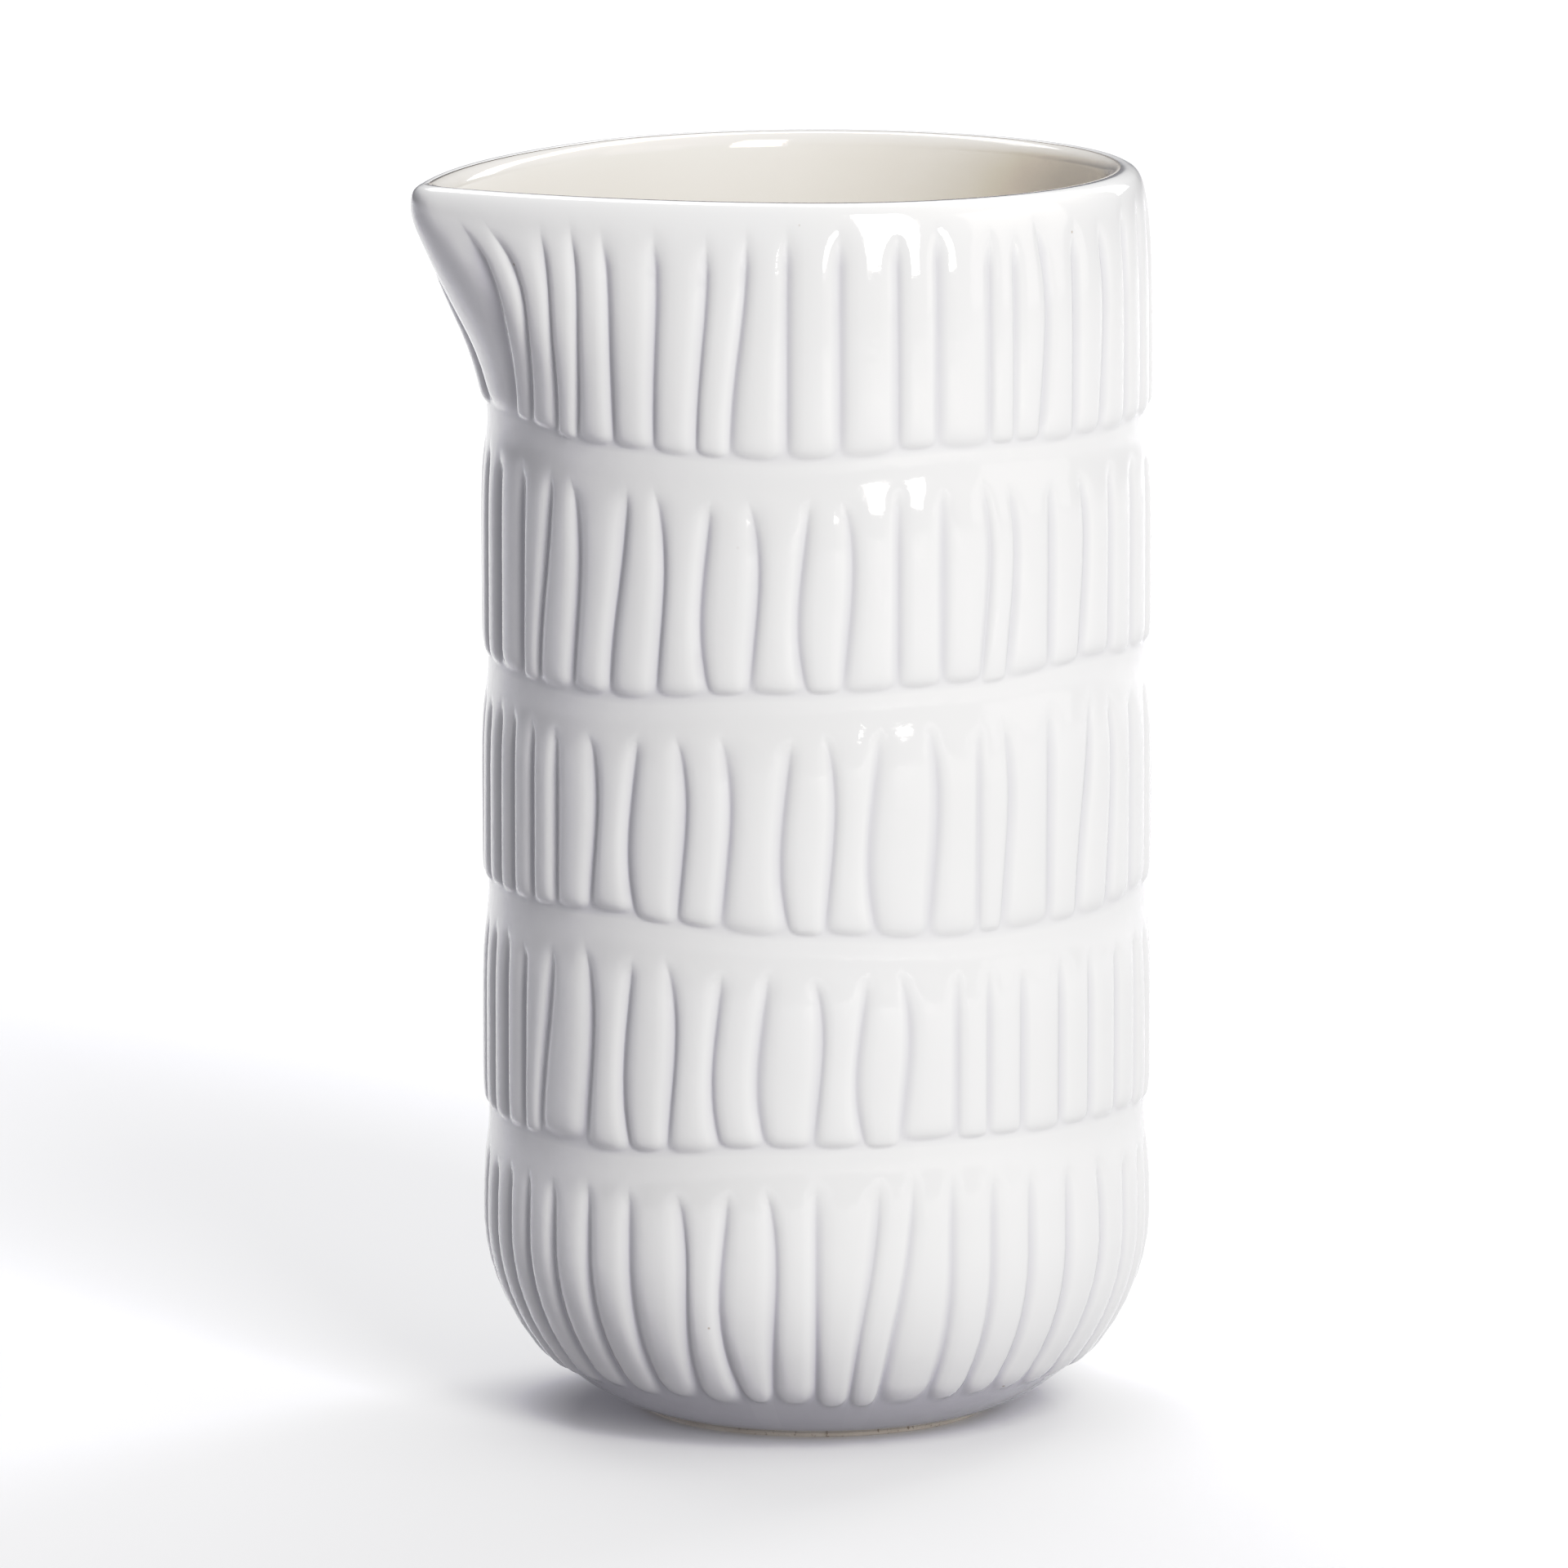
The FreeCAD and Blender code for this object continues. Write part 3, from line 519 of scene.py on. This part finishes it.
def new_material(name):
    material = bpy.data.materials.new(name)
    material.use_nodes = True
    tree = material.node_tree
    shader = tree.nodes["Principled BSDF"]
    place = tree.nodes.new("ShaderNodeTexCoord").outputs["Object"]
    return material, tree, shader, place


def noise(tree, place, scale, detail=3.0, rough=0.5):
    node = tree.nodes.new("ShaderNodeTexNoise")
    node.inputs["Scale"].default_value = scale
    node.inputs["Detail"].default_value = detail
    node.inputs["Roughness"].default_value = rough
    tree.links.new(place, node.inputs["Vector"])
    return node.outputs["Fac"]


def ramp(tree, value, stops):
    node = tree.nodes.new("ShaderNodeValToRGB")
    while len(node.color_ramp.elements) < len(stops):
        node.color_ramp.elements.new(0.5)
    for element, (position, colour) in zip(node.color_ramp.elements, stops):
        element.position = position
        element.color = (*colour, 1)
    tree.links.new(value, node.inputs["Fac"])
    return node.outputs["Color"]


def spread(tree, value, low, high):
    node = tree.nodes.new("ShaderNodeMapRange")
    node.inputs["To Min"].default_value = low
    node.inputs["To Max"].default_value = high
    tree.links.new(value, node.inputs["Value"])
    return node.outputs["Result"]


def mixed(tree, kind, share, first, second):
    node = tree.nodes.new("ShaderNodeMix")
    node.data_type = "RGBA"
    node.blend_type = kind
    for socket_name, value in (("Factor", share), ("A", first), ("B", second)):
        socket = node.inputs[socket_name]
        if hasattr(value, "is_output"):
            tree.links.new(value, socket)
        else:
            socket.default_value = value
    return node.outputs["Result"]


def bump(tree, shader, height, distance, strength, below=None):
    node = tree.nodes.new("ShaderNodeBump")
    node.inputs["Strength"].default_value = strength
    node.inputs["Distance"].default_value = distance
    tree.links.new(height, node.inputs["Height"])
    if below is not None:
        tree.links.new(below, node.inputs["Normal"])
    tree.links.new(node.outputs["Normal"], shader.inputs["Normal"])
    return node.outputs["Normal"]


# How deep in a groove, in millimetres, the glaze starts to pool and the painted groove shade begins, and
# where both are fullest.
POOL_AND_SHADE_START = 0.3
POOL_AND_SHADE_FULL = 0.92


def glaze_material(name, thin, thick, speck, pooled_and_shade):
    """A gloss glaze: a little colour drift, tiny pinhole specks, a faint ripple and uneven gloss, and, if
    given, a darker colour deep in the grooves that is partly pooled glaze and partly painted shade.
    """
    material, tree, shader, place = new_material(name)
    drift = noise(tree, place, 28, 2)
    colour = ramp(tree, drift, ((0.3, thin), (0.7, thick)))
    if pooled_and_shade:
        depth = tree.nodes.new("ShaderNodeAttribute")
        depth.attribute_name = "groove_pool_and_shade_depth"
        pool_and_shade = tree.nodes.new("ShaderNodeMapRange")
        pool_and_shade.inputs["From Min"].default_value = POOL_AND_SHADE_START
        pool_and_shade.inputs["From Max"].default_value = POOL_AND_SHADE_FULL
        tree.links.new(depth.outputs["Fac"], pool_and_shade.inputs["Value"])
        # Painted shade: the grooves are darkened by their depth, partly for pooled glaze and partly standing
        # in for the shade that falls in them.
        colour = mixed(tree, "MIX", pool_and_shade.outputs["Result"], colour, (*pooled_and_shade, 1))
    cells = tree.nodes.new("ShaderNodeTexVoronoi")
    cells.inputs["Scale"].default_value = 95
    tree.links.new(place, cells.inputs["Vector"])
    spot = ramp(tree, cells.outputs["Distance"], ((0.012, (1, 1, 1)), (0.03, (0, 0, 0))))
    few = ramp(tree, noise(tree, place, 60, 0), ((0.60, (0, 0, 0)), (0.66, (1, 1, 1))))
    speckled = mixed(tree, "MULTIPLY", 1.0, spot, few)
    colour = mixed(tree, "MIX", speckled, colour, (*speck, 1))
    tree.links.new(colour, shader.inputs["Base Color"])
    tree.links.new(spread(tree, noise(tree, place, 140, 4), 0.035, 0.10), shader.inputs["Roughness"])
    shader.inputs["IOR"].default_value = 1.52
    shader.inputs["Coat Weight"].default_value = 0.3
    shader.inputs["Coat Roughness"].default_value = 0.03
    ripple = bump(tree, shader, noise(tree, place, 110, 2), 0.0004, 0.25)
    bump(tree, shader, noise(tree, place, 900, 3), 0.00005, 0.3, ripple)
    return material


def clay_material():
    """Bare fired stoneware: matt, sandy, with darker grains."""
    material, tree, shader, place = new_material("bare stoneware")
    colour = ramp(tree, noise(tree, place, 180, 4), ((0.3, (0.60, 0.54, 0.46)), (0.7, (0.72, 0.67, 0.59))))
    grains = ramp(tree, noise(tree, place, 1900, 2), ((0.62, (0, 0, 0)), (0.72, (1, 1, 1))))
    colour = mixed(tree, "MIX", grains, colour, (0.34, 0.27, 0.2, 1))
    tree.links.new(colour, shader.inputs["Base Color"])
    tree.links.new(spread(tree, noise(tree, place, 500, 3), 0.75, 0.95), shader.inputs["Roughness"])
    bump(tree, shader, noise(tree, place, 1500, 5, 0.65), 0.0002, 0.7)
    return material


# The white glaze's grey-lilac groove colour is partly pooled glaze and partly painted shade in the grooves.
WHITE = glaze_material(
    "white gloss glaze",
    thin=(0.86, 0.86, 0.845), thick=(0.885, 0.885, 0.875),
    speck=(0.45, 0.38, 0.30), pooled_and_shade=(0.67, 0.665, 0.69),
)
IVORY = glaze_material(
    "ivory liner glaze",
    thin=(0.78, 0.745, 0.685), thick=(0.80, 0.77, 0.715),
    speck=(0.42, 0.34, 0.26), pooled_and_shade=None,
)
CLAY = clay_material()


# ---------------------------------------------------------------- pieces

def build_outer_glaze():
    outside, depths = wall_rows(row_heights(True), 0.0)
    over = rim_rows(0.0)
    angle, _, _ = columns(HIGHEST_RIB)
    edge = [lip_row(angle, 0.0, z, RIM_INNER_ROUND) for z in (HEIGHT, HEIGHT - GLAZE)]
    back = rim_rows(GLAZE)[::-1]
    behind, _ = wall_rows(row_heights(False), GLAZE)
    rows = outside + over + edge + back + behind[::-1]
    plain = [np.zeros(len(angle))] * (len(rows) - len(outside))
    return skin("outer_glaze_coat", rows, True, "outer_glaze", WHITE, depths + plain)


def build_inner_glaze():
    angle = np.linspace(0, 360, 240, endpoint=False)
    face = inside_rows(angle, 0.0, True)
    back = inside_rows(angle, GLAZE, False)
    return skin("liner_glaze_coat", face[::-1] + back, False, "inner_glaze", IVORY)


def build_clay():
    gap = GLAZE + CLEARANCE
    outside, _ = wall_rows(row_heights(False), gap)
    angle, _, _ = columns(HIGHEST_RIB)
    turn = math.pi + np.radians(angle)
    under = [ring(turn, RECESS_RADIUS * share, RECESS_DEPTH) for share in (0.1, 0.5, 0.9, 1.0)]
    under.append(ring(turn, RECESS_RADIUS, FOOT_ROUND))
    for tilt in np.radians((30, 60, 90)):
        drawn_in = FOOT_ROUND * (1 - math.cos(tilt))
        under.append(ring(turn, RECESS_RADIUS + drawn_in, FOOT_ROUND * (1 - math.sin(tilt))))
    for tilt in np.radians((90, 60, 30, 0)):
        drawn_in = FOOT_ROUND * (1 - math.cos(tilt))
        under.append(ring(turn, FOOT_RADIUS - drawn_in, FOOT_ROUND * (1 - math.sin(tilt))))
    under.append(ring(turn, FOOT_RADIUS, BASE_HEIGHT + FOOT_OVERLAP))
    inside = inside_rows(angle, gap, False)
    rows = under + outside + rim_rows(gap) + inside
    return skin("stoneware_body", rows, False, "clay_body", CLAY)


# The glaze disc's lower face: (share of the recess's radius, how far up it has come), thinning at its edge.
DISC_PROFILE = ((0.15, 0.02), (0.4, 0.0), (0.7, 0.0), (0.9, 0.02), (0.96, 0.05), (0.985, 0.1), (0.996, 0.2))
DISC_RIPPLE = 0.02


def build_base_glaze():
    turn = np.radians(np.linspace(0, 360, 96, endpoint=False))
    lowest = RECESS_DEPTH - GLAZE
    rows = []
    for share, lift in DISC_PROFILE:
        ripple = DISC_RIPPLE * np.sin(turn * 3 + share * 9)
        rows.append(ring(turn, RECESS_RADIUS * share, lowest + lift + ripple * share + CLEARANCE))
    for share in (DISC_PROFILE[-1][0], 0.5):
        rows.append(ring(turn, RECESS_RADIUS * share, RECESS_DEPTH - 0.001))
    return skin("recess_glaze_disc", rows, False, "base_glaze", WHITE)


build_outer_glaze()
build_inner_glaze()
build_clay()
build_base_glaze()


# ---------------------------------------------------------------- studio

FLOOR_SIZE = 12.0


def floor_material():
    material, tree, shader, place = new_material("studio floor")
    colour = ramp(tree, noise(tree, place, 3, 2), ((0.3, (0.90, 0.90, 0.90)), (0.7, (0.92, 0.92, 0.92))))
    tree.links.new(colour, shader.inputs["Base Color"])
    shader.inputs["Roughness"].default_value = 0.85
    return material


def make_floor():
    """A pale floor that doesn't tint the pitcher's underside with its bounce."""
    half = FLOOR_SIZE / 2
    corners = [(-half, -half, 0), (half, -half, 0), (half, half, 0), (-half, half, 0)]
    mesh = bpy.data.meshes.new("floor")
    mesh.from_pydata(corners, [], [(0, 1, 2, 3)])
    mesh.materials.append(floor_material())
    floor = bpy.data.objects.new("floor", mesh)
    floor.visible_diffuse = False
    bpy.context.scene.collection.objects.link(floor)


# Where the viewer stands, and the studio's directions as the viewer sees them.
AZIMUTH = math.radians(22.7)
ELEVATION = math.radians(9.5)
right = Vector((math.cos(AZIMUTH), -math.sin(AZIMUTH), 0))
away = Vector((math.sin(AZIMUTH), math.cos(AZIMUTH), 0))
up = Vector((0, 0, 1))


def studio_point(across, forward, height):
    """A point given across the view to the right, towards the viewer, and up, in metres."""
    return right * across - away * forward + up * height


def soft_light(name, across, forward, height, size, power, colour, target=(0, 0, 0.1)):
    """A rectangular light of a size in metres and a power in watts, turned towards its target."""
    data = bpy.data.lights.new(name, "AREA")
    data.shape = "RECTANGLE"
    data.size, data.size_y = size
    data.energy = power
    data.color = colour
    light = bpy.data.objects.new(name, data)
    light.location = studio_point(across, forward, height)
    light.rotation_mode = "QUATERNION"
    light.rotation_quaternion = (Vector(target) - light.location).to_track_quat("-Z", "Y")
    bpy.context.scene.collection.objects.link(light)
    return light


def lights():
    white = (1.0, 1.0, 1.0)
    soft_light("key", 0.68, 1.45, 1.10, (0.62, 1.80), 31, (1.0, 0.99, 0.97), (0, 0, 1.10))
    soft_light("right fill", 1.5, 0.35, 0.6, (1.2, 1.2), 3.5, white)
    soft_light("rear gloss", 0.95, -1.15, 0.95, (0.4, 1.1), 5, white)
    soft_light("background light", 0.0, -1.5, 1.9, (2.6, 1.6), 46, white, studio_point(0, -1.8, 0))


def room_light():
    """What lights the room itself: bright overhead, dim at the horizon, and a weak bounce from below."""
    world = bpy.data.worlds.new("studio")
    bpy.context.scene.world = world
    world.use_nodes = True
    sky = world.node_tree
    toward = sky.nodes.new("ShaderNodeSeparateXYZ")
    sky.links.new(sky.nodes.new("ShaderNodeTexCoord").outputs["Generated"], toward.inputs["Vector"])
    rise = sky.nodes.new("ShaderNodeMapRange")
    rise.inputs["From Min"].default_value = -1
    sky.links.new(toward.outputs["Z"], rise.inputs["Value"])
    dome = ramp(sky, rise.outputs["Result"], (
        (0.47, (0.30, 0.295, 0.325)), (0.52, (0.10, 0.10, 0.11)), (1.0, (0.46, 0.46, 0.49)),
    ))
    sky.links.new(dome, sky.nodes["Background"].inputs["Color"])
    sky.nodes["Background"].inputs["Strength"].default_value = 1.0


# The tone response as (value, shown): firm shadows, lifted middle tones, a soft shoulder under white.
TONES = ((0.30, 0.27), (0.39, 0.39), (0.48, 0.54), (0.60, 0.68), (0.74, 0.795), (0.88, 0.88), (0.95, 0.935))


def tone_response():
    view = bpy.context.scene.view_settings
    view.view_transform = "Standard"
    view.use_curve_mapping = True
    tone = view.curve_mapping
    tone.extend = "EXTRAPOLATED"
    points = tone.curves[3].points
    points[0].location = (0.0, 0.0)
    points[-1].location = (1.0, 1.0)
    for value, shown in TONES:
        points.new(value, shown)
    tone.update()


CAMERA_DISTANCE = 2.0
LENS = 307.5
SENSOR = 36
AIM_ACROSS = -0.0049
AIM_HEIGHT = 0.0941


def make_camera():
    """A long lens, so that the pitcher's sides look all but parallel."""
    data = bpy.data.cameras.new("camera")
    data.lens = LENS
    data.sensor_width = SENSOR
    data.clip_end = 50
    camera = bpy.data.objects.new("camera", data)
    bpy.context.scene.collection.objects.link(camera)
    back = -away * math.cos(ELEVATION) + up * math.sin(ELEVATION)
    aim = right * AIM_ACROSS + up * AIM_HEIGHT
    camera.location = aim + back * CAMERA_DISTANCE
    camera.rotation_mode = "QUATERNION"
    camera.rotation_quaternion = (-back).to_track_quat("-Z", "Y")
    bpy.context.scene.camera = camera


make_floor()
lights()
room_light()
tone_response()
make_camera()
